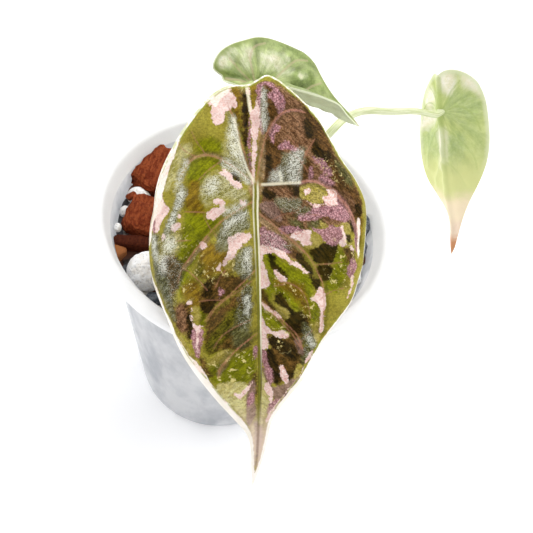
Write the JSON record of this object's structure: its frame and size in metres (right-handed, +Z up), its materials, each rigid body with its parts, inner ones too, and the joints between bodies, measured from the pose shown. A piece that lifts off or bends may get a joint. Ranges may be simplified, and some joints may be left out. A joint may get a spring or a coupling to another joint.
{
  "type": "potted alocasia",
  "caption": "Small alocasia with marbled pink, bronze and olive arrow-shaped leaves on slender stalks, in chunky bark and pumice in a tapered frosted nursery pot.",
  "frame": {"origin": "centre of the pot's flat base, at its underside", "axes": "+Z up along the pot's axis; the large leaf leans towards -Y and the small back leaf hangs towards +X and +Y"},
  "size_m": [0.1303, 0.1523, 0.1376],
  "materials": {
    "frosted_plastic": "thin milky translucent plastic, satin",
    "bark_and_pumice": "rough red-brown bark, off-white pumice and black charcoal",
    "stem_base": "dry fibrous sheaths over a green-brown stem",
    "petiole_front": "smooth satin green stalk",
    "petiole_middle": "smooth satin green stalk",
    "petiole_back": "smooth satin pale green stalk",
    "blade_front": "glossy quilted leaf, marbled olive, dark bronze, pink and mauve with a cream margin",
    "blade_middle": "glossy pebbled grey-green leaf with an olive margin",
    "blade_back": "satin pale yellow-green leaf with cream patches"
  },
  "bodies": {
    "root": {"pot": "frosted_plastic", "potting_mix": "bark_and_pumice", "crown": "stem_base", "petiole_front": "petiole_front", "petiole_middle": "petiole_middle", "petiole_back": "petiole_back", "blade_front": "blade_front", "blade_middle": "blade_middle", "blade_back": "blade_back"}
  },
  "joints": []
}
